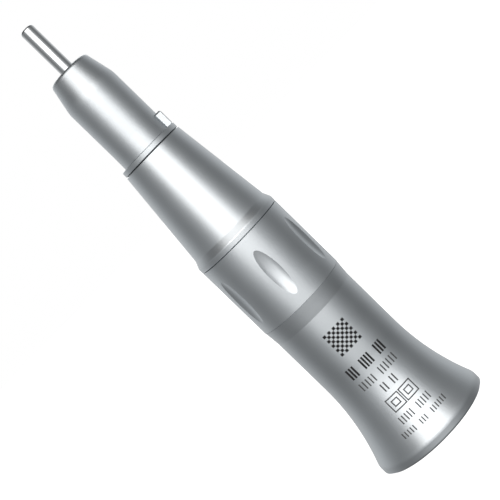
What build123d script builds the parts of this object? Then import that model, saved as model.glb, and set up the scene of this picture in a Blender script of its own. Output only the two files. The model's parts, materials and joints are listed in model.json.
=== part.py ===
"""Straight low-speed dental handpiece with a twist-operated chuck and a shank blank, in millimetres.

The handpiece stands on its flared rear end. The origin is the centre of the rear face, +Z runs
along the axis to the tip, and +X passes through the key on the nose.
"""
from build123d import *
import os
from math import sqrt

# Outer form, from the rear face to the tip
TIP_Z = 86.05
RIM_EDGE_R = 0.45
RIM_EDGE_Z = 0.35
RIM_LAND_Z = 1.2
RIM_BLEND_R = 2.0
BELL_ARC_R = 38.9
BELL_END_Z = 15.9
BODY_R = 7.52
BAND_START_Z = 26.0
BAND_END_Z = 28.57
BAND_END_R = 7.76
RING_START_Z = 28.59
RING_END_Z = 41.67
RING_R = 7.78
CONE_START_Z = 41.75
CONE_LIP_R = 7.79
CONE_LIP_Z = 42.6
CONE_NECK_Z = 43.8
CONE_NECK_R = 7.26
CONE_END_Z = 59.83
CONE_END_R = 5.49
FLANGE_START_Z = 59.97
FLANGE_END_Z = 60.87
FLANGE_R = 5.41
KEY_END_Z = 63.5
KEY_TOP_X = 5.29
KEY_WIDTH = 3.46
NOSE_R = 4.6
NOSE_TAPER_Z = 72.6
NOSE_TAPER_BLEND_R = 6.0
NOSE_END_Z = 77.36
NOSE_END_R = 3.55
NOSE_CORNER_R = 0.65
SHANK_R = 1.175

# Motor coupling
COUPLING_BORE_R = 4.8
COUPLING_MOUTH_Z = 0.9
COUPLING_WALL_END_Z = 14.4
SLEEVE_R = 6.6
SLEEVE_SEAT_Z = 2.4
SLEEVE_END_Z = 16.2

# Structural tube
TUBE_R = 6.2
TUBE_BORE_R = 5.3
TUBE_REAR_BORE_R = 4.6
TUBE_FRONT_BORE_R = 4.63
TUBE_SHOULDER_Z = 18.9
TUBE_BORE_START_Z = 22.4
TUBE_BORE_END_Z = 41.2
TUBE_THREAD_R = 5.9
TUBE_THREAD_END_Z = 46.0
TUBE_FRONT_R = 5.2
TUBE_END_Z = 55.0
SEAL_ZS = {"rear": 30.0, "front": 40.6}

# Twist mechanism
TWIST_DEG = 50.0
PUSH_TRAVEL = 1.4
CAM_PIN_R = 0.6
CAM_PIN_Z = 35.0
CAM_PIN_INNER = 4.3
CAM_PIN_OUTER = 6.8
RUNNING_GAP = 0.05
DIMPLE_COUNT = 6
DIMPLE_Z = 34.8
DIMPLE_DEPTH = 0.35
DIMPLE_LENGTH = 8.75
DIMPLE_CUTTER_R = 2.8

# Bearings, 5 x 8 x 2.5 mm
BEARING_BORE_R = 2.51
BEARING_R = 3.97
BEARING_WIDTH = 2.5
BALL_R = 0.55
BALL_PITCH_R = 3.25
BALL_COUNT = 8
INNER_RING_R = 2.95
OUTER_RING_BORE_R = 3.55
REAR_BEARING_Z = 25.6
FRONT_BEARING_ZS = (65.4, 69.7)
WASHER_HEIGHT = 0.5

# Spindle and chuck
SPINDLE_R = 2.5
SPINDLE_BORE_R = 1.95
SPINDLE_START_Z = 20.4
SPINDLE_END_Z = 76.6
ABUTMENT_Z = 55.6
ABUTMENT_END_Z = 58.4
MOUTH_TAPER_Z = 73.6
PIN_R = 0.6
CROSS_PIN_Z = 32.0
CHUCK_TRAVEL = 1.2
DOG_PIN_Z = 22.4
DOG_TRAVEL = 1.5
ROD_R = 1.1
ROD_START_Z = 30.6
ROD_END_Z = 64.0
COLLET_START_Z = 62.0
COLLET_END_Z = 75.6
SPRING_NUT_Z = 36.9
SPRING_NUT_END_Z = 38.9
PLUG_Z = 26.6

UPRIGHT = (Align.CENTER, Align.CENTER, Align.MIN)


def disc(radius, bottom, top):
    return Pos(0, 0, bottom) * Cylinder(radius, top - bottom, align=UPRIGHT)


def tube(inner, outer, bottom, top):
    return disc(outer, bottom, top) - disc(inner, bottom, top)


def turned(outline):
    """Solid of revolution about Z from a closed outline drawn as (radius, height)."""
    return revolve(Plane.XZ * make_face(outline), Axis.Z)


def profile(*points):
    return Polyline(*points, close=True)


def block(x_range, y_range, z_range):
    """Box given by its lowest and highest corner along each axis."""
    spans = (x_range, y_range, z_range)
    size = [high - low for low, high in spans]
    middle = [(high + low) / 2 for low, high in spans]
    return Pos(*middle) * Box(*size)


def cross_bar(radius, half_length, z, turn=0.0):
    """Round bar across the axis, along X before it is turned about Z."""
    bar = Rot(0, 90, 0) * Cylinder(radius, 2 * half_length)
    return Rot(0, 0, turn) * Pos(0, 0, z) * bar


def cross_slot(radius, half_length, z_low, z_high, turn=0.0):
    """Cutter for a round-ended slot right across the axis, between two bar positions."""
    middle = block((-half_length, half_length), (-radius, radius), (z_low, z_high))
    ends = cross_bar(radius, half_length, z_low) + cross_bar(radius, half_length, z_high)
    return Rot(0, 0, turn) * (middle + ends)


def coil(mean_r, wire_r, bottom, top, pitch):
    """Round-wire compression spring between two heights."""
    start = (0, 0, bottom + wire_r)
    path = Helix(pitch=pitch, height=top - bottom - 2 * wire_r, radius=mean_r, center=start)
    section = Plane(origin=path @ 0, z_dir=path % 0) * Circle(wire_r)
    return sweep(section, path=path, is_frenet=True)


def cone_washer(inner, outer, bottom, rises_outward):
    """Conical spring washer of one washer height."""
    thickness = 0.18
    rise = WASHER_HEIGHT - thickness
    inner_z, outer_z = (0.0, rise) if rises_outward else (rise, 0.0)
    return turned(profile(
        (inner, bottom + inner_z), (outer, bottom + outer_z),
        (outer, bottom + outer_z + thickness), (inner, bottom + inner_z + thickness)))


def rear_shell():
    """Bell-shaped body: a short rim land blends into one large arc, then a straight body and a conical band."""
    drop = BELL_END_Z - RIM_LAND_Z
    reach = sqrt((BELL_ARC_R + RIM_BLEND_R) ** 2 - drop ** 2)
    blend_centre_r = BODY_R + BELL_ARC_R - reach
    rim_r = blend_centre_r + RIM_BLEND_R
    share = RIM_BLEND_R / (BELL_ARC_R + RIM_BLEND_R)
    meet = (blend_centre_r + share * reach, RIM_LAND_Z + share * drop)
    blend = TangentArc((rim_r, RIM_LAND_Z), meet, tangent=(0, 1))
    bell = TangentArc(meet, (BODY_R, BELL_END_Z), tangent=blend % 1)
    mouth_r, upper_bore_r, sleeve_bore_r = 7.3, TUBE_R + RUNNING_GAP, SLEEVE_R + RUNNING_GAP
    rest = Polyline(
        (BODY_R, BELL_END_Z), (BODY_R, BAND_START_Z), (BAND_END_R - 0.02, BAND_END_Z - 0.02),
        (BAND_END_R, BAND_END_Z), (upper_bore_r, BAND_END_Z), (upper_bore_r, TUBE_SHOULDER_Z),
        (sleeve_bore_r, TUBE_SHOULDER_Z), (sleeve_bore_r, SLEEVE_SEAT_Z), (mouth_r, SLEEVE_SEAT_Z),
        (mouth_r, 0.3), (mouth_r + 0.3, 0), (rim_r - RIM_EDGE_R, 0), (rim_r, RIM_EDGE_Z),
        (rim_r, RIM_LAND_Z))
    return turned(Curve() + [blend, bell, rest])


def coupling_sleeve():
    """Sleeve that takes the motor's tube, with a snap-ring groove at its inner end and an index notch."""
    groove_r, groove_end = 5.25, 15.6
    flange_r, face_z = 7.25, 0.5
    body = turned(profile(
        (COUPLING_BORE_R + 0.4, face_z), (flange_r, face_z), (flange_r, SLEEVE_SEAT_Z),
        (SLEEVE_R, SLEEVE_SEAT_Z), (SLEEVE_R, SLEEVE_END_Z), (COUPLING_BORE_R, SLEEVE_END_Z),
        (COUPLING_BORE_R, groove_end), (groove_r, groove_end), (groove_r, COUPLING_WALL_END_Z),
        (COUPLING_BORE_R, COUPLING_WALL_END_Z), (COUPLING_BORE_R, COUPLING_MOUTH_Z)))
    notch = block((5.6, flange_r + 0.5), (-0.8, 0.8), (0.0, 1.4))
    return body - notch


def helical_slot():
    """Cutter along the path that a cam pin takes through the tube's wall."""
    width, depth = 2 * (CAM_PIN_R + RUNNING_GAP), 1.6
    wall_r = (TUBE_R + TUBE_BORE_R) / 2
    pitch = PUSH_TRAVEL * 360 / TWIST_DEG
    path = Helix(pitch=pitch, height=PUSH_TRAVEL, radius=wall_r, center=(0, 0, CAM_PIN_Z))
    section = Plane(origin=path @ 0, x_dir=(1, 0, 0), z_dir=path % 0) * Rectangle(depth, width)
    channel = sweep(section, path=path, is_frenet=True)
    end_bar = Rot(0, 90, 0) * Cylinder(width / 2, depth)
    first = Pos(wall_r, 0, CAM_PIN_Z) * end_bar
    last = Rot(0, 0, TWIST_DEG) * Pos(wall_r, 0, CAM_PIN_Z + PUSH_TRAVEL) * end_bar
    return channel + first + last


def chassis_tube():
    body = turned(profile(
        (TUBE_REAR_BORE_R, SLEEVE_END_Z), (SLEEVE_R, SLEEVE_END_Z), (SLEEVE_R, TUBE_SHOULDER_Z),
        (TUBE_R, TUBE_SHOULDER_Z), (TUBE_R, CONE_START_Z), (TUBE_THREAD_R, CONE_START_Z),
        (TUBE_THREAD_R, TUBE_THREAD_END_Z), (TUBE_FRONT_R, TUBE_THREAD_END_Z), (TUBE_FRONT_R, TUBE_END_Z),
        (TUBE_FRONT_BORE_R, TUBE_END_Z), (TUBE_FRONT_BORE_R, TUBE_BORE_END_Z),
        (TUBE_BORE_R, TUBE_BORE_END_Z), (TUBE_BORE_R, TUBE_BORE_START_Z),
        (TUBE_REAR_BORE_R, TUBE_BORE_START_Z)))
    for z in SEAL_ZS.values():
        body -= tube(5.72, TUBE_R + 0.2, z - 0.3, z + 0.3)
    slot = helical_slot()
    return body - slot - Rot(0, 0, 180) * slot


def grip_seal(z):
    return Pos(0, 0, z) * Torus(6.0, 0.26)


def rounded_section(outline, corners):
    """Section from an outline, with each listed corner rounded by its own radius."""
    section = make_face(outline)
    for corner, radius in corners:
        section = fillet(section.vertices().sort_by_distance(corner)[0], radius)
    return section


def front_cone():
    """Tapered front sleeve with a plain lip and a softly blended conical shoulder behind it."""
    lip, neck, edge = (CONE_LIP_R, CONE_LIP_Z), (CONE_NECK_R, CONE_NECK_Z), 0.05
    thread_r, bore_r, nose_r = TUBE_THREAD_R + RUNNING_GAP, TUBE_FRONT_R + RUNNING_GAP, NOSE_R + 0.02
    outline = profile(
        (CONE_LIP_R - edge, CONE_START_Z), (CONE_LIP_R, CONE_START_Z + edge), lip, neck,
        (CONE_END_R, CONE_END_Z - edge), (CONE_END_R - edge, CONE_END_Z),
        (nose_r, CONE_END_Z), (nose_r, TUBE_END_Z + 0.1), (bore_r, TUBE_END_Z + 0.1),
        (bore_r, TUBE_THREAD_END_Z), (thread_r, TUBE_THREAD_END_Z), (thread_r, CONE_START_Z))
    section = rounded_section(outline, ((lip, 0.5), (neck, 0.4)))
    return revolve(Plane.XZ * section, Axis.Z)


def key_block():
    return block((4.2, KEY_TOP_X), (-KEY_WIDTH / 2, KEY_WIDTH / 2), (FLANGE_END_Z, KEY_END_Z))


def nose_barrel():
    """Nose with its rear plug, flange, keyed seat, cylindrical barrel and tapered front."""
    bearing_seat_r = BEARING_R + 0.03
    seat_end = FRONT_BEARING_ZS[1] + BEARING_WIDTH
    recess_r, recess_end, mouth_r = 3.3, seat_end + 1.2, 2.75
    taper_start, front_corner = (NOSE_R, NOSE_TAPER_Z), (NOSE_END_R, NOSE_END_Z)
    plug_start, edge, seat_r = 49.0, 0.08, NOSE_R + 0.05
    outline = profile(
        (bearing_seat_r, plug_start), (NOSE_R, plug_start), (NOSE_R, FLANGE_START_Z),
        (FLANGE_R - edge, FLANGE_START_Z), (FLANGE_R, FLANGE_START_Z + edge),
        (FLANGE_R, FLANGE_END_Z - edge), (FLANGE_R - edge, FLANGE_END_Z),
        (seat_r, FLANGE_END_Z), (NOSE_R, KEY_END_Z), taper_start, front_corner,
        (mouth_r + 0.15, NOSE_END_Z), (mouth_r, NOSE_END_Z - 0.15),
        (mouth_r, recess_end), (recess_r, recess_end), (recess_r, seat_end), (bearing_seat_r, seat_end))
    section = rounded_section(outline, ((taper_start, NOSE_TAPER_BLEND_R), (front_corner, NOSE_CORNER_R)))
    return revolve(Plane.XZ * section, Axis.Z) - key_block()


def nose_key():
    """Anti-rotation lug with softened front and top edges, set into a pocket beside the flange."""
    lug = key_block()
    front_edges = lug.edges().group_by(Axis.Z)[-1].filter_by_position(Axis.X, NOSE_R, KEY_TOP_X + 0.1)
    lug = chamfer(front_edges, 0.22)
    top_edges = lug.edges().filter_by_position(Axis.X, KEY_TOP_X - 0.01, KEY_TOP_X + 0.01)
    return chamfer(top_edges, 0.1)


def nose_seal():
    return tube(NOSE_R + 0.02, 5.15, CONE_END_Z, FLANGE_START_Z)


def bearing_carrier():
    return turned(profile(
        (3.45, TUBE_BORE_START_Z), (TUBE_BORE_R - 0.02, TUBE_BORE_START_Z), (TUBE_BORE_R - 0.02, 28.9),
        (BEARING_R + 0.03, 28.9), (BEARING_R + 0.03, 25.1), (3.45, 25.1)))


def spanner_slots(across, width, bottom, top):
    return block((-across, across), (-width / 2, width / 2), (bottom, top))


def carrier_lock_ring():
    """Threaded ring with a nose that bears on the rear bearing's outer ring."""
    ring = turned(profile(
        (3.5, 28.12), (BEARING_R, 28.12), (BEARING_R, 28.9), (TUBE_BORE_R - 0.02, 28.9),
        (TUBE_BORE_R - 0.02, 29.7), (3.5, 29.7)))
    return ring - spanner_slots(6, 1.0, 29.3, 29.8)


def bearing_retainer_nut():
    end_z = FRONT_BEARING_ZS[0] - WASHER_HEIGHT
    return tube(3.1, BEARING_R, end_z - 2.0, end_z) - spanner_slots(5, 1.0, end_z - 2.1, end_z - 1.3)


def raceway(z):
    return Pos(0, 0, z + BEARING_WIDTH / 2) * Torus(BALL_PITCH_R, BALL_R + 0.015)


def outer_ring(z):
    return tube(OUTER_RING_BORE_R, BEARING_R, z, z + BEARING_WIDTH) - raceway(z)


def inner_ring(z):
    return tube(BEARING_BORE_R, INNER_RING_R, z, z + BEARING_WIDTH) - raceway(z)


def ball_places(z):
    middle = Pos(0, 0, z + BEARING_WIDTH / 2)
    return [middle * place for place in PolarLocations(BALL_PITCH_R, BALL_COUNT)]


def balls(z):
    return [place * Sphere(BALL_R) for place in ball_places(z)]


def ball_cage(z):
    """Thin ring with one round pocket for each ball."""
    middle = z + BEARING_WIDTH / 2
    ring = tube(BALL_PITCH_R - 0.17, BALL_PITCH_R + 0.17, middle - 0.8, middle + 0.8)
    pocket = Rot(0, 90, 0) * Cylinder(BALL_R + 0.04, 1.0)
    for place in ball_places(z):
        ring -= place * pocket
    return ring


def spindle():
    """Hollow shaft: dog-pin slot at the rear, cross-pin slot, spring abutment and tapered chuck mouth."""
    shoulder_z = FRONT_BEARING_ZS[1] + BEARING_WIDTH
    shoulder_end = shoulder_z + 1.0
    mouth_r, mouth_z = 2.2, 76.0
    shaft = turned(profile(
        (SPINDLE_BORE_R, SPINDLE_START_Z), (SPINDLE_R, SPINDLE_START_Z), (SPINDLE_R, shoulder_z),
        (INNER_RING_R, shoulder_z), (INNER_RING_R, shoulder_end), (SPINDLE_R, shoulder_end),
        (SPINDLE_R, SPINDLE_END_Z), (mouth_r, SPINDLE_END_Z), (mouth_r, mouth_z),
        (SPINDLE_BORE_R, MOUTH_TAPER_Z), (SPINDLE_BORE_R, ABUTMENT_END_Z), (ROD_R + 0.15, ABUTMENT_END_Z),
        (ROD_R + 0.15, ABUTMENT_Z), (SPINDLE_BORE_R, ABUTMENT_Z)))
    for low, high in circlip_places():
        shaft -= tube(SPINDLE_R - 0.2, SPINDLE_R + 0.2, low, high)
    slot_r = PIN_R + RUNNING_GAP
    shaft -= cross_slot(slot_r, 3.0, DOG_PIN_Z, DOG_PIN_Z + DOG_TRAVEL)
    return shaft - cross_slot(slot_r, 3.0, CROSS_PIN_Z, CROSS_PIN_Z + CHUCK_TRAVEL, turn=90)


def circlip_places():
    rear = REAR_BEARING_Z + BEARING_WIDTH
    front = FRONT_BEARING_ZS[0]
    return (rear, rear + 0.4), (front - 0.4, front)


def circlip(bottom, top):
    """Open snap ring with a gap on one side."""
    ring = tube(SPINDLE_R - 0.19, 2.98, bottom + 0.01, top - 0.01)
    return ring - block((1.5, 4.0), (-0.9, 0.9), (bottom - 0.1, top + 0.1))


def collet():
    """Three-jaw spring collet with a conical head, bored for the shank in front and the rod behind."""
    outside = SPINDLE_BORE_R - RUNNING_GAP
    rod_r, shank_r = ROD_R + 0.01, SHANK_R + 0.015
    body = turned(profile(
        (rod_r, COLLET_START_Z), (outside, COLLET_START_Z), (outside, MOUTH_TAPER_Z - 0.2),
        (2.12, COLLET_END_Z), (shank_r + 0.15, COLLET_END_Z), (shank_r, COLLET_END_Z - 0.15),
        (shank_r, ROD_END_Z + 0.4), (0.6, ROD_END_Z + 0.4), (0.6, ROD_END_Z), (rod_r, ROD_END_Z)))
    for turn in (90, 210, 330):
        body -= Rot(0, 0, turn) * block((0.0, 3.0), (-0.2, 0.2), (67.0, COLLET_END_Z + 1.0))
    return body


def draw_rod():
    return disc(ROD_R, ROD_START_Z, ROD_END_Z) - cross_bar(PIN_R + 0.01, 2.0, CROSS_PIN_Z, turn=90)


def spring_nut():
    return tube(ROD_R + 0.01, 1.85, SPRING_NUT_Z, SPRING_NUT_END_Z)


def thrust_collar():
    collar = tube(SPINDLE_R + RUNNING_GAP, 3.9, CROSS_PIN_Z - 1.1, CROSS_PIN_Z + 1.1)
    return collar - cross_bar(PIN_R + 0.01, 5.0, CROSS_PIN_Z, turn=90)


def drive_dog():
    """Cup that slides on the spindle's rear end, with two claws for the motor's shaft."""
    skirt_r, face_z, wall_z, skirt_end = 3.2, 17.6, 18.8, 23.8
    cup = disc(skirt_r, face_z, skirt_end) - disc(SPINDLE_R + RUNNING_GAP, wall_z, skirt_end)
    for side in (0, 180):
        claw = block((1.3, 3.4), (-0.75, 0.75), (15.9, face_z)) & disc(skirt_r, 15.9, face_z)
        cup += Rot(0, 0, side) * claw
    return cup - cross_bar(PIN_R + 0.01, 4.0, DOG_PIN_Z)


def grip_ring():
    """Twist ring with finger dimples outside and two straight cam-pin grooves inside."""
    rear_edge, front_edge = 0.02, 0.06
    bore_r = TUBE_R + 0.08
    ring = turned(profile(
        (bore_r, RING_START_Z), (RING_R - rear_edge, RING_START_Z), (RING_R, RING_START_Z + rear_edge),
        (RING_R, RING_END_Z - front_edge), (RING_R - front_edge, RING_END_Z), (bore_r, RING_END_Z)))
    groove_width = CAM_PIN_R + RUNNING_GAP
    for side in (0, 180):
        groove = block((bore_r - 0.5, CAM_PIN_OUTER + 0.1), (-groove_width, groove_width), (34.3, 42.0))
        ring -= Rot(0, 0, side) * groove
    for place in dimple_cutters():
        ring -= place
    return ring


def dimple_cutters():
    """Round-edged discs whose rims leave long oval scallops around the ring."""
    sweep_r = (DIMPLE_LENGTH / 2) ** 2 / (2 * DIMPLE_DEPTH)
    centre_r = RING_R - DIMPLE_DEPTH + sweep_r
    disc_cutter = Rot(90, 0, 0) * Torus(sweep_r - DIMPLE_CUTTER_R, DIMPLE_CUTTER_R)
    cutter = Pos(centre_r, 0, DIMPLE_Z) * disc_cutter
    step = 360 / DIMPLE_COUNT
    return [Rot(0, 0, step * (i + 0.5)) * cutter for i in range(DIMPLE_COUNT)]


def push_sleeve():
    """Sleeve whose rear lip pushes the thrust collar forward."""
    start, lip_end, end = 29.9, 30.6, 37.5
    sleeve = tube(4.1, TUBE_BORE_R - RUNNING_GAP, start, end) + tube(3.2, 4.2, start, lip_end)
    return sleeve - cross_bar(CAM_PIN_R + 0.01, 6.0, CAM_PIN_Z)


def cam_pins():
    length = CAM_PIN_OUTER - CAM_PIN_INNER
    pin = Rot(0, 90, 0) * Cylinder(CAM_PIN_R, length)
    middle = CAM_PIN_INNER + length / 2
    return [Pos(side * middle, 0, CAM_PIN_Z) * pin for side in (1, -1)]


def shank_blank():
    """Plain cylindrical shank with a rounded tip and a shallow relief groove inside the nose."""
    groove = (76.2, 77.1)
    bottom = ROD_END_Z + 0.5
    body = fillet(disc(SHANK_R, bottom, TIP_Z).edges().sort_by(Axis.Z)[-1], 0.35)
    return body - tube(1.0, SHANK_R + 0.2, *groove)


def save(name, *solids):
    shape = solids[0] if len(solids) == 1 else Compound(children=list(solids))
    export_step(shape, f"parts/{name}.step")


def build():
    os.makedirs("parts", exist_ok=True)
    first, second = FRONT_BEARING_ZS
    save("rear_shell", rear_shell())
    save("coupling_sleeve", coupling_sleeve())
    save("chassis_tube", chassis_tube())
    for end, z in SEAL_ZS.items():
        save(f"grip_seal_{end}", grip_seal(z))
    save("front_cone", front_cone())
    save("nose_barrel", nose_barrel())
    save("nose_key", nose_key())
    save("nose_seal", nose_seal())
    save("bearing_carrier", bearing_carrier())
    save("carrier_lock_ring", carrier_lock_ring())
    save("bearing_retainer_nut", bearing_retainer_nut())
    save("rear_preload_washer", cone_washer(3.5, BEARING_R - 0.03, REAR_BEARING_Z - WASHER_HEIGHT, True))
    save("front_preload_washer", cone_washer(3.2, BEARING_R - 0.03, first - WASHER_HEIGHT, True))
    save("rear_bearing_outer_ring", outer_ring(REAR_BEARING_Z))
    save("rear_bearing_inner_ring", inner_ring(REAR_BEARING_Z))
    save("rear_bearing_balls", *balls(REAR_BEARING_Z))
    save("rear_bearing_cage", ball_cage(REAR_BEARING_Z))
    save("front_bearing_outer_rings", outer_ring(first), outer_ring(second))
    save("front_bearing_inner_rings", inner_ring(first), inner_ring(second))
    save("front_bearing_balls", *balls(first), *balls(second))
    save("front_bearing_cages", ball_cage(first), ball_cage(second))
    save("outer_spacer", tube(OUTER_RING_BORE_R, BEARING_R, first + BEARING_WIDTH, second))
    save("inner_spacer", tube(BEARING_BORE_R, INNER_RING_R, first + BEARING_WIDTH, second))
    save("spindle", spindle())
    save("spindle_circlips", *[circlip(*place) for place in circlip_places()])
    save("spindle_plug", disc(SPINDLE_BORE_R - 0.01, PLUG_Z, PLUG_Z + 1.2))
    save("closing_spring", coil(1.52, 0.25, SPRING_NUT_END_Z + 0.02, ABUTMENT_Z - 0.02, 1.5))
    save("dog_spring", coil(1.5, 0.2, DOG_PIN_Z + PIN_R + 0.02, PLUG_Z - 0.02, 0.8))
    save("collet", collet())
    save("draw_rod", draw_rod())
    save("spring_nut", spring_nut())
    save("cross_pin", cross_bar(PIN_R, 3.6, CROSS_PIN_Z, turn=90))
    save("thrust_collar", thrust_collar())
    save("drive_dog", drive_dog())
    save("dog_pin", cross_bar(PIN_R, 3.1, DOG_PIN_Z))
    save("grip_ring", grip_ring())
    save("push_sleeve", push_sleeve())
    save("cam_pins", *cam_pins())
    save("shank_blank", shank_blank())


build()
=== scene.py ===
"""Looks for the straight dental handpiece: finishes, etched marks, springs, light and camera.

Lengths are in metres, apart from the layout of the marks and the camera's sensor, which are in
millimetres. The part stands on its flared end, +Z runs to the tip, and the camera is on the -Y
side.
"""
import bpy
import json
from math import cos, pi, radians, sin
from mathutils import Matrix, Vector


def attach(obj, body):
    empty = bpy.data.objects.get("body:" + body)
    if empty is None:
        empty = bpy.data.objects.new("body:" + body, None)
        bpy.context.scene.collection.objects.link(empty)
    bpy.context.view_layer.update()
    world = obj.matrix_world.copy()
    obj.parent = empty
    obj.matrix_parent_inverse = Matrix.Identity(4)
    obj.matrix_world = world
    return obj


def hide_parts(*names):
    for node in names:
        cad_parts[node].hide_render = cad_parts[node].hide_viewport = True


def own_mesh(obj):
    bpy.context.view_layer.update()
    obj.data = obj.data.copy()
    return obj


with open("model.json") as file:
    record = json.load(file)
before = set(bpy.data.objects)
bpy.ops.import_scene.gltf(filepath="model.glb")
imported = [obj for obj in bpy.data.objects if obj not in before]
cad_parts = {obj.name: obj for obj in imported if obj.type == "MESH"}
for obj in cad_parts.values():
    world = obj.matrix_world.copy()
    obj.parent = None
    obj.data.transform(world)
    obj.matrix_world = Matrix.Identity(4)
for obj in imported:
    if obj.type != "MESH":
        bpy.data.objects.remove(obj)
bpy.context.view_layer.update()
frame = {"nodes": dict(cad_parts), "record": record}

MM = 0.001
WHITE = (1, 1, 1, 1)
BLACK = (0, 0, 0, 1)
nodes = frame["nodes"]
scene = bpy.context.scene


# ---------------------------------------------------------------- shader helpers

NOISE_LOW, NOISE_HIGH = 0.3, 0.7  # most of a noise texture's values lie between these two


class Nodes:
    """Adds and links the shader nodes of one material or world."""

    def __init__(self, tree):
        self.tree = tree

    def add(self, kind, inputs=None, **settings):
        node = self.tree.nodes.new(kind)
        for key, value in settings.items():
            setattr(node, key, value)
        for key, value in (inputs or {}).items():
            if isinstance(value, bpy.types.NodeSocket):
                self.tree.links.new(value, node.inputs[key])
            else:
                node.inputs[key].default_value = value
        return node

    def math(self, operation, first, second=0.0):
        return self.add("ShaderNodeMath", {0: first, 1: second}, operation=operation).outputs[0]

    def multiply(self, first, second):
        return self.math("MULTIPLY", first, second)

    def plus(self, first, second):
        return self.math("ADD", first, second)

    def remap(self, value, low, high, to_low, to_high, shape="LINEAR"):
        """A value from low to high becomes one from to_low to to_high, and stays between them."""
        return self.add("ShaderNodeMapRange", {
            "Value": value, "From Min": low, "From Max": high, "To Min": to_low, "To Max": to_high,
        }, interpolation_type=shape).outputs["Result"]

    def noise(self, vector, scale, detail):
        return self.add("ShaderNodeTexNoise", {
            "Vector": vector, "Scale": scale, "Detail": detail}).outputs["Fac"]

    def spread(self, noise, to_low, to_high):
        """A noise texture's usual values, spread from to_low to to_high."""
        return self.remap(noise, NOISE_LOW, NOISE_HIGH, to_low, to_high)

    def toned(self, colour, tone):
        """The colour, darkened where tone is below 1."""
        mix = self.add("ShaderNodeMix", {6: BLACK, 7: (*colour, 1), 0: tone}, data_type="RGBA")
        return mix.outputs[2]

    def object_place(self):
        return self.add("ShaderNodeTexCoord").outputs["Object"]

    def split(self, vector):
        return self.add("ShaderNodeSeparateXYZ", {0: vector}).outputs


def new_material(name):
    material = bpy.data.materials.new(name)
    material.use_nodes = True
    material.node_tree.nodes.clear()
    return material, Nodes(material.node_tree)


def finish_material(n, shader):
    n.add("ShaderNodeOutputMaterial", {"Surface": shader.outputs[0]})


# ---------------------------------------------------------------- materials

# Noise scales are in cells per metre.
CLOUD_SCALE, CLOUD_DETAIL = 180.0, 4.0
SPECK_SCALE, SPECK_DETAIL = 9000.0, 2.0
RING_SCALE, RING_DETAIL = 16000.0, 2.0
METAL_TONE_LOSS = 0.04
CLOUD_GLOSS_CHANGE = 0.02
RING_GLOSS_CHANGE = 0.015
METAL_BUMP, METAL_BUMP_DISTANCE = 0.35, 0.00001

GRAIN_SCALE, GRAIN_DETAIL = 2500.0, 3.0
PLAIN_TONE_LOSS = 0.1
PLAIN_GLOSS_CHANGE = 0.05
PLAIN_BUMP, PLAIN_BUMP_DISTANCE = 0.2, 0.00002


def axial_coordinates(n, place):
    """Radius and height as a vector, so that a texture on it runs in rings round the axis."""
    parts = n.split(place)
    x2 = n.multiply(parts["X"], parts["X"])
    y2 = n.multiply(parts["Y"], parts["Y"])
    radius = n.math("SQRT", n.plus(x2, y2))
    return n.add("ShaderNodeCombineXYZ", {0: radius, 1: parts["Z"]}).outputs[0]


def satin_metal(name, colour, roughness, grain=0.25, rings=0.1):
    """Steel with a fine blasted grain, faint turning rings and slow changes of tone and gloss."""
    material, n = new_material(name)
    place = n.object_place()
    cloud = n.noise(place, CLOUD_SCALE, CLOUD_DETAIL)
    speck = n.noise(place, SPECK_SCALE, SPECK_DETAIL)
    ring = n.noise(axial_coordinates(n, place), RING_SCALE, RING_DETAIL)
    tone = n.multiply(n.spread(cloud, 1.0 - METAL_TONE_LOSS, 1.0),
                      n.spread(speck, 1.0 - METAL_TONE_LOSS, 1.0))
    gloss = n.plus(n.spread(cloud, roughness - CLOUD_GLOSS_CHANGE, roughness + CLOUD_GLOSS_CHANGE),
                   n.spread(ring, -RING_GLOSS_CHANGE, RING_GLOSS_CHANGE))
    height = n.plus(n.multiply(speck, grain), n.multiply(ring, rings))
    bump = n.add("ShaderNodeBump", {
        "Height": height, "Strength": METAL_BUMP, "Distance": METAL_BUMP_DISTANCE})
    finish_material(n, n.add("ShaderNodeBsdfPrincipled", {
        "Base Color": n.toned(colour, tone), "Metallic": 1.0, "Roughness": gloss,
        "Normal": bump.outputs[0]}))
    return material


def plain_surface(name, colour, roughness, specular=0.5):
    """Rubber, plastic or etched ink with a fine mottled surface."""
    material, n = new_material(name)
    grain = n.noise(n.object_place(), GRAIN_SCALE, GRAIN_DETAIL)
    tone = n.spread(grain, 1.0 - PLAIN_TONE_LOSS, 1.0)
    gloss = n.spread(grain, roughness - PLAIN_GLOSS_CHANGE, roughness + PLAIN_GLOSS_CHANGE)
    bump = n.add("ShaderNodeBump", {
        "Height": grain, "Strength": PLAIN_BUMP, "Distance": PLAIN_BUMP_DISTANCE})
    finish_material(n, n.add("ShaderNodeBsdfPrincipled", {
        "Base Color": n.toned(colour, tone), "Roughness": gloss, "Normal": bump.outputs[0],
        "Specular IOR Level": specular}))
    return material


SHELL_STEEL = (0.577, 0.62, 0.651)
RING_STEEL = (0.595, 0.639, 0.671)
SHANK_STEEL = (0.62, 0.65, 0.67)
INNER_STEEL = (0.52, 0.525, 0.54)
SPRING_STEEL = (0.36, 0.36, 0.38)
BEARING_STEEL = (0.66, 0.66, 0.67)
SEAL_BLACK = (0.018, 0.018, 0.02)
CAGE_BROWN = (0.40, 0.22, 0.09)

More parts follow.
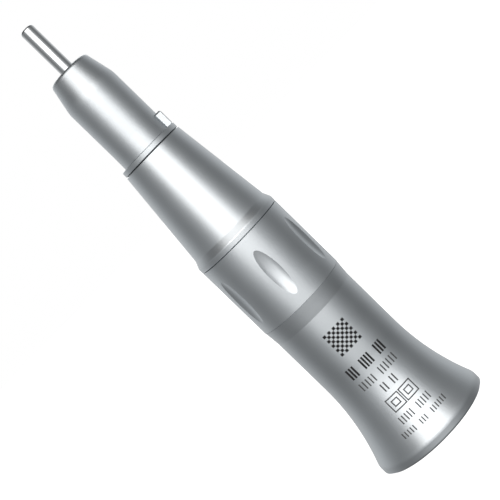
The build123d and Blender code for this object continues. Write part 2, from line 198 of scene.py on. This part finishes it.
FINISHES = {
    "satin_body": satin_metal("satin_body", SHELL_STEEL, roughness=0.38),
    "satin_ring": satin_metal("satin_ring", RING_STEEL, roughness=0.38, grain=0.35),
    "turned_nose": satin_metal(
        "turned_nose", SHELL_STEEL, roughness=0.42, grain=0.1, rings=0.25),
    "polished_shank": satin_metal(
        "polished_shank", SHANK_STEEL, roughness=0.22, grain=0.03, rings=0.08),
    "turned_steel": satin_metal(
        "turned_steel", INNER_STEEL, roughness=0.28, grain=0.08, rings=0.3),
    "spring_steel": satin_metal(
        "spring_steel", SPRING_STEEL, roughness=0.32, grain=0.2, rings=0.0),
    "bearing_steel": satin_metal(
        "bearing_steel", BEARING_STEEL, roughness=0.12, grain=0.02, rings=0.05),
    "black_seal": plain_surface("black_seal", SEAL_BLACK, roughness=0.55),
    "cage_plastic": plain_surface("cage_plastic", CAGE_BROWN, roughness=0.45),
}


def dress_cad_nodes():
    """Every carried-over CAD node takes the finish of its slot in the record."""
    for entry in frame["record"]["subparts"]:
        node = nodes[entry["node"]]
        node.data.materials.clear()
        node.data.materials.append(FINISHES[entry["material_slot"]])


# ---------------------------------------------------------------- mesh helper

def add_mesh_object(name, vertices, faces, material):
    mesh = bpy.data.meshes.new(name)
    mesh.from_pydata(vertices, [], faces)
    mesh.materials.append(material)
    piece = bpy.data.objects.new(name, mesh)
    scene.collection.objects.link(piece)
    return piece


# ---------------------------------------------------------------- etched marks on the body

MARK_LIFT = 0.02 * MM
MARK_DEPTH = 0.06 * MM
MARK_STEP = 0.35 * MM
OUTSIDE_BODY_Y = -0.03

ETCH_DARK = (0.03, 0.03, 0.032)
ETCH_GREY = (0.1, 0.105, 0.11)
ETCH_ROUGHNESS = 0.9
ETCH_SPECULAR = 0.1


def shell_point(x, z, lift):
    """Point on the camera side of the body at a given x and height, lifted off the surface."""
    shell = nodes["rear_shell"]
    hit, place, normal, _ = shell.ray_cast(Vector((x, OUTSIDE_BODY_Y, z)), Vector((0, 1, 0)))
    if not hit:
        raise ValueError(f"no body surface at x={x}, z={z}")
    return place + normal * lift


def add_patch(vertices, faces, x_range, z_range):
    """A thin closed plate that follows the body between two x values and two heights."""
    columns = max(1, round((x_range[1] - x_range[0]) / MARK_STEP))
    rows = max(1, round((z_range[1] - z_range[0]) / MARK_STEP))
    start = len(vertices)
    layer = (columns + 1) * (rows + 1)
    for lift in (MARK_LIFT, MARK_LIFT - MARK_DEPTH):
        for j in range(rows + 1):
            for i in range(columns + 1):
                x = x_range[0] + (x_range[1] - x_range[0]) * i / columns
                z = z_range[0] + (z_range[1] - z_range[0]) * j / rows
                vertices.append(shell_point(x, z, lift))

    def at(i, j, level):
        return start + level * layer + j * (columns + 1) + i

    for j in range(rows):
        for i in range(columns):
            faces.append((at(i, j, 0), at(i + 1, j, 0), at(i + 1, j + 1, 0), at(i, j + 1, 0)))
            faces.append((at(i, j, 1), at(i, j + 1, 1), at(i + 1, j + 1, 1), at(i + 1, j, 1)))
    for i in range(columns):
        faces.append((at(i, 0, 0), at(i, 0, 1), at(i + 1, 0, 1), at(i + 1, 0, 0)))
        faces.append((at(i + 1, rows, 0), at(i + 1, rows, 1), at(i, rows, 1), at(i, rows, 0)))
    for j in range(rows):
        faces.append((at(0, j + 1, 0), at(0, j + 1, 1), at(0, j, 1), at(0, j, 0)))
        faces.append((at(columns, j, 0), at(columns, j, 1),
                      at(columns, j + 1, 1), at(columns, j + 1, 0)))


def etched_mark(name, patches, material):
    """One mark on the body, made of patches given in millimetres as (x0, x1, z0, z1)."""
    vertices, faces = [], []
    for x0, x1, z0, z1 in patches:
        add_patch(vertices, faces, (x0 * MM, x1 * MM), (z0 * MM, z1 * MM))
    piece = add_mesh_object(name, vertices, faces, material)
    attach(piece, "housing")


# ---------------------------------------------------------------- layout of the marks, in mm

FRAME_OUTER_X, FRAME_INNER_X, FRAME_INSET = 2.5, 0.08, 0.6


def chequer(centre_z, side, cells):
    """Plain alternating squares in a square field."""
    cell = side / cells
    left, low = -side / 2, centre_z - side / 2
    return [(left + i * cell, left + (i + 1) * cell, low + j * cell, low + (j + 1) * cell)
            for j in range(cells) for i in range(cells) if (i + j) % 2 == 0]


def ticks(width, z_range, groups, thickness, gap):
    """A row of plain upright ticks, centred on x = 0, with an extra gap between its groups."""
    step = (width - gap * (len(groups) - 1) - thickness) / (sum(groups) - 1)
    patches, x = [], -width / 2
    for count in groups:
        for _ in range(count):
            patches.append((x, x + thickness, *z_range))
            x += step
        x += gap
    return patches


def outline(x0, x1, z0, z1, line):
    """A rectangular frame of one line width."""
    return [(x0, x1, z0, z0 + line), (x0, x1, z1 - line, z1),
            (x0, x0 + line, z0 + line, z1 - line), (x1 - line, x1, z0 + line, z1 - line)]


def nested_frames(z_range, line):
    """Two plain boxes side by side with a smaller box in each."""
    z0, z1 = z_range
    patches = []
    for x0, x1 in ((-FRAME_OUTER_X, -FRAME_INNER_X), (FRAME_INNER_X, FRAME_OUTER_X)):
        for inset in (0.0, FRAME_INSET):
            patches += outline(x0 + inset, x1 - inset, z0 + inset, z1 - inset, line)
    return patches


def add_marks():
    dark = plain_surface("etch_dark", ETCH_DARK, ETCH_ROUGHNESS, ETCH_SPECULAR)
    grey = plain_surface("etch_grey", ETCH_GREY, ETCH_ROUGHNESS, ETCH_SPECULAR)
    etched_mark("chequer_mark", chequer(centre_z=20.97, side=4.15, cells=9), dark)
    etched_mark("wide_tick_mark", ticks(
        width=6.9, z_range=(15.08, 16.95), groups=(3, 4, 3), thickness=0.3, gap=0.96), dark)
    etched_mark("thin_tick_mark", ticks(
        width=6.9, z_range=(12.8, 14.15), groups=(5, 6), thickness=0.2, gap=0.8), grey)
    etched_mark("short_tick_mark", ticks(
        width=2.6, z_range=(10.65, 12.05), groups=(2, 2), thickness=0.22, gap=0.64), grey)
    etched_mark("frame_mark", nested_frames(z_range=(7.5, 9.8), line=0.18), grey)
    etched_mark("small_tick_mark", ticks(
        width=5.8, z_range=(5.53, 6.73), groups=(5, 5), thickness=0.19, gap=0.8), grey)
    etched_mark("long_tick_mark", ticks(
        width=8.5, z_range=(3.79, 4.69), groups=(5, 3, 6), thickness=0.18, gap=0.8), grey)


# ---------------------------------------------------------------- springs carried onto the spindle


def shortening_spring(node_name):
    """The spring's own shape, as a copy that rides with the spindle in place of the CAD node."""
    node = nodes[node_name]
    piece = bpy.data.objects.new(f"{node_name}_coil", node.data.copy())
    scene.collection.objects.link(piece)
    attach(piece, "spindle")
    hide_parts(node_name)
    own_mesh(piece)


def add_springs():
    shortening_spring("closing_spring")
    shortening_spring("dog_spring")


# ---------------------------------------------------------------- floor

FLOOR_HALF = 3.0
FLOOR_COLOUR = (0.8, 0.8, 0.8, 1)
FLOOR_EMISSION = 0.93


def studio_floor():
    """Pale floor that stays near white where the part shades it."""
    material, n = new_material("studio_floor")
    diffuse = n.add("ShaderNodeBsdfDiffuse", {"Color": FLOOR_COLOUR})
    glow = n.add("ShaderNodeEmission", {"Color": WHITE, "Strength": FLOOR_EMISSION})
    finish_material(n, n.add("ShaderNodeAddShader", {0: diffuse.outputs[0], 1: glow.outputs[0]}))
    corners = [(-FLOOR_HALF, -FLOOR_HALF, 0), (FLOOR_HALF, -FLOOR_HALF, 0),
               (FLOOR_HALF, FLOOR_HALF, 0), (-FLOOR_HALF, FLOOR_HALF, 0)]
    floor = add_mesh_object("studio_floor", corners, [(0, 1, 2, 3)], material)
    floor.visible_glossy = False
    floor.visible_diffuse = False


# ---------------------------------------------------------------- light

# Strengths of the room's lights, and shares of them that are left in the shaded directions.
ROOM_LIGHT = 0.25
SWEEP_LIGHT = 0.85
FRONT_FILL = 0.6
SIDE_FILL = 0.045
FLOOR_GLOW = 0.6
LOW_SHADE = 0.62
EDGE_SHADE = 0.15
HIGH_SHADE = 0.3
FRONT_HIGH_SHARE = 0.5

# Where each of them starts and ends, as the X, Y or Z part of a unit direction from the part.
SWEEP_Y = (0.0, 0.9)
FRONT_Y = (-1.0, -0.3)
FRONT_LOW_Z = (-0.45, -0.05)
FRONT_HIGH_Z = (0.0, 0.2)
SIDE_X = (-1.0, -0.75)
GLOW_Z = (-0.95, -0.55)
LOW_SHADE_Z = (-0.4, 0.05)
EDGE_SHADE_Z = (-0.7, -0.35)
HIGH_SHADE_Z = (0.3, 0.75)
BEHIND_Y = (0.1, 0.45)

LIGHT_TARGET_Z = 0.045
KEY_COLOUR = (1.0, 0.952, 0.914)


def room_strength(n):
    """Strength of the light that the part sees in each direction."""
    direction = n.split(n.add("ShaderNodeTexCoord").outputs["Generated"])
    across, depth, height = direction["X"], direction["Y"], direction["Z"]
    sweep = n.remap(depth, *SWEEP_Y, ROOM_LIGHT, SWEEP_LIGHT, "SMOOTHSTEP")
    side = n.remap(across, *SIDE_X, SIDE_FILL, 0.0, "SMOOTHSTEP")
    front = n.remap(depth, *FRONT_Y, FRONT_FILL, 0.0, "SMOOTHSTEP")
    front_reach = n.multiply(n.remap(height, *FRONT_LOW_Z, 0.0, 1.0),
                             n.remap(height, *FRONT_HIGH_Z, 1.0, FRONT_HIGH_SHARE))
    behind = n.remap(depth, *BEHIND_Y, 0.0, 1.0)
    low_behind = n.multiply(n.remap(height, *EDGE_SHADE_Z, 1.0, 0.0, "SMOOTHSTEP"), behind)
    low_shade = n.remap(height, *LOW_SHADE_Z, LOW_SHADE, 1.0, "SMOOTHSTEP")
    edge_shade = n.remap(low_behind, 0.0, 1.0, 1.0, EDGE_SHADE)
    high_shade = n.remap(height, *HIGH_SHADE_Z, 1.0, HIGH_SHADE, "SMOOTHSTEP")
    shade = n.multiply(n.multiply(low_shade, edge_shade), high_shade)
    around = n.multiply(n.plus(sweep, side), shade)
    below = n.multiply(n.remap(height, *GLOW_Z, FLOOR_GLOW, 0.0, "SMOOTHSTEP"),
                       n.math("SUBTRACT", 1.0, behind))
    return n.plus(n.plus(around, below), n.multiply(front, front_reach))


def studio_world():
    """White to the camera. The part sees a dim room that brightens to a pale sweep behind it."""
    world = bpy.data.worlds.new("studio")
    world.use_nodes = True
    world.node_tree.nodes.clear()
    scene.world = world
    n = Nodes(world.node_tree)
    to_camera = n.add("ShaderNodeLightPath").outputs["Is Camera Ray"]
    strength = n.add("ShaderNodeMix", {0: to_camera, 2: room_strength(n), 3: 1.0}).outputs[0]
    shine = n.add("ShaderNodeBackground", {"Color": WHITE, "Strength": strength})
    n.add("ShaderNodeOutputWorld", {"Surface": shine.outputs[0]})


def softbox(name, azimuth, elevation, distance, width, height, radiance, colour=(1, 1, 1)):
    """Rectangular area light facing the axis. Azimuth 0 is on the camera's side."""
    around, up = radians(azimuth), radians(elevation)
    away = Vector((sin(around) * cos(up), -cos(around) * cos(up), sin(up)))
    light = bpy.data.lights.new(name, "AREA")
    light.shape = "RECTANGLE"
    light.size, light.size_y = width, height
    light.energy = radiance * pi * width * height
    light.color = colour
    lamp = bpy.data.objects.new(name, light)
    scene.collection.objects.link(lamp)
    lamp.rotation_euler = away.to_track_quat("Z", "Y").to_euler()
    lamp.location = Vector((0, 0, LIGHT_TARGET_Z)) + away * distance
    lamp.visible_camera = False


def studio_lights():
    softbox("key_softbox", azimuth=0, elevation=24.5, distance=0.6, width=0.76, height=0.64,
            radiance=2.07, colour=KEY_COLOUR)
    softbox("back_softbox", azimuth=180, elevation=28, distance=0.6, width=0.5, height=0.3,
            radiance=1.2)


# ---------------------------------------------------------------- camera

CAMERA_DISTANCE = 0.2
CAMERA_ELEVATION = radians(4.5)
CAMERA_ROLL = radians(45.8)
CAMERA_TARGET = Vector((-0.00027, 0, 0.0391))
PIXELS_PER_METRE = 6600.0
FRAME_PIXELS = 500
SENSOR_WIDTH_MM = 36.0
CLIP_NEAR, CLIP_FAR = 0.01, 20


def add_camera():
    """On the -Y side, a little above the level, rolled so that the part lies on a diagonal."""
    forward = Vector((0, cos(CAMERA_ELEVATION), -sin(CAMERA_ELEVATION)))
    level = Vector((1, 0, 0))
    upward = level.cross(forward)
    right = level * cos(CAMERA_ROLL) - upward * sin(CAMERA_ROLL)
    top = level * sin(CAMERA_ROLL) + upward * cos(CAMERA_ROLL)
    camera = bpy.data.cameras.new("camera")
    camera.sensor_width = SENSOR_WIDTH_MM
    camera.lens = SENSOR_WIDTH_MM * PIXELS_PER_METRE * CAMERA_DISTANCE / FRAME_PIXELS
    camera.clip_start, camera.clip_end = CLIP_NEAR, CLIP_FAR
    holder = bpy.data.objects.new("camera", camera)
    scene.collection.objects.link(holder)
    rotation = Matrix((right, top, -forward)).transposed().to_4x4()
    holder.matrix_world = Matrix.Translation(CAMERA_TARGET - forward * CAMERA_DISTANCE) @ rotation
    scene.camera = holder


# ---------------------------------------------------------------- the scene

dress_cad_nodes()
add_marks()
add_springs()
studio_floor()
studio_world()
studio_lights()
add_camera()
scene.view_settings.view_transform = "Standard"
